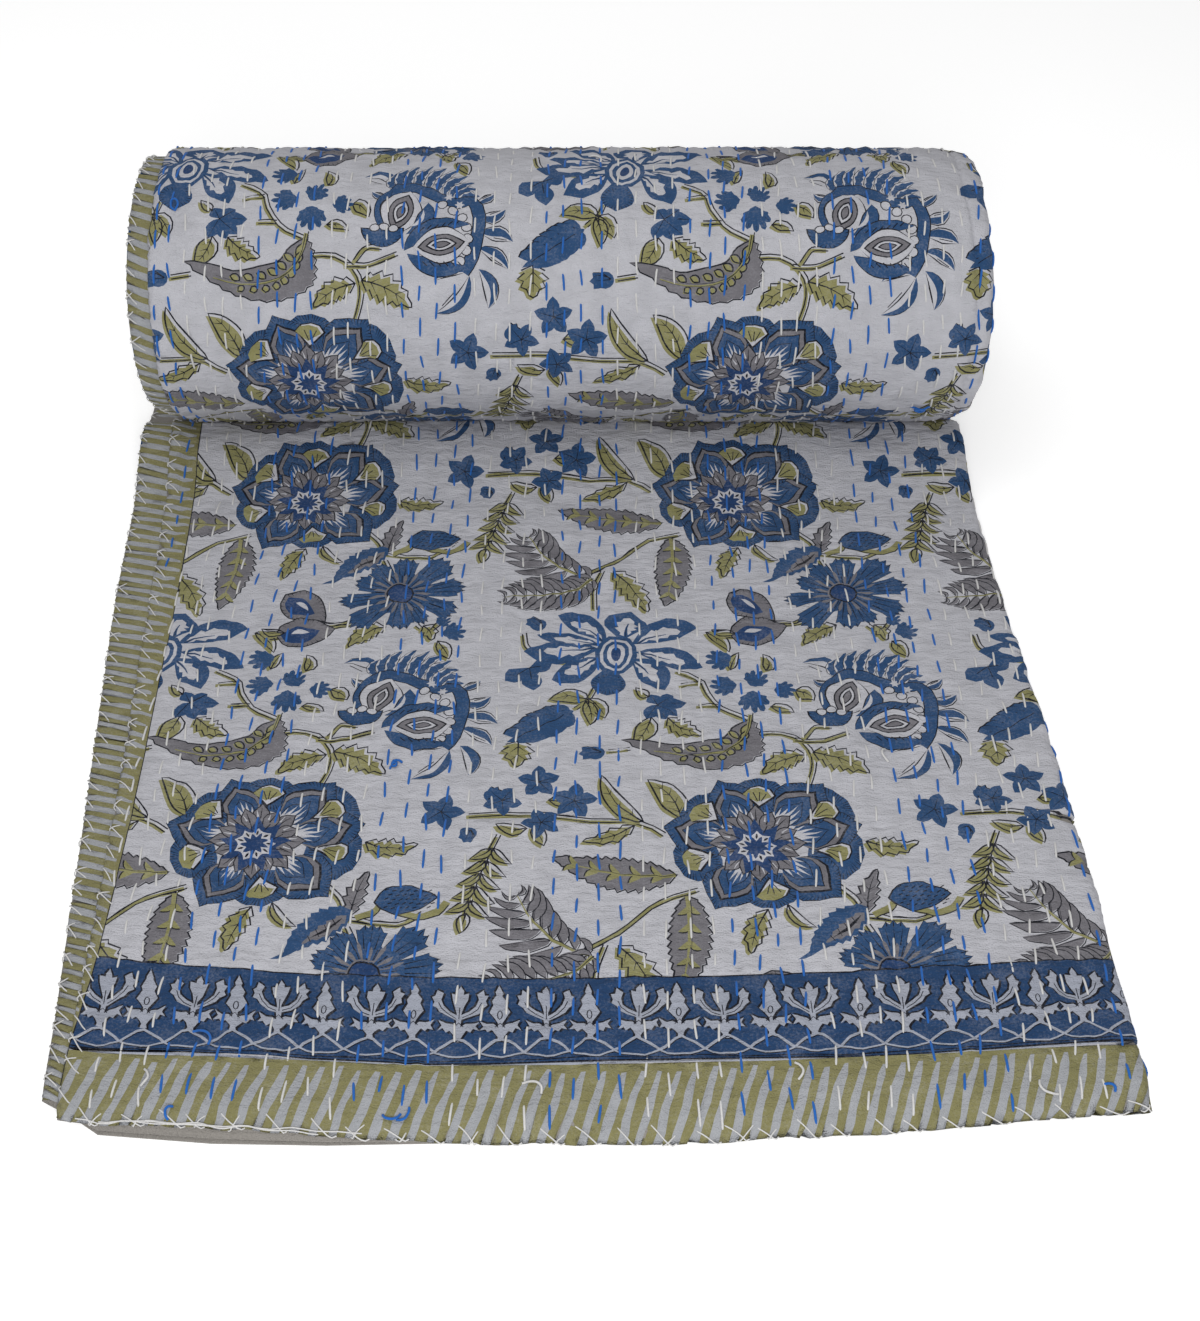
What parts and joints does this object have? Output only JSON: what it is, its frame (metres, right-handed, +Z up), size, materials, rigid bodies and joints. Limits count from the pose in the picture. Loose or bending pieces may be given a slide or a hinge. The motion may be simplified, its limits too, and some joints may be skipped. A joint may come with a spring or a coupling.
{
  "type": "kantha quilt",
  "caption": "Hand-stitched cotton kantha quilt, folded lengthwise and rolled from its far end, with the near end lying loose as a flat flap.",
  "frame": {"origin": "centre of the bounding box, at the bottom, on the surface the quilt lies on", "axes": "+Z up, +Y from the loose front end to the roll, +X across the folded width"},
  "size_m": [0.606, 0.704, 0.1979],
  "materials": {
    "quilted_cotton": "matt block-printed cotton with rows of running stitch"
  },
  "bodies": {
    "root": {"quilt": "quilted_cotton"}
  },
  "joints": []
}
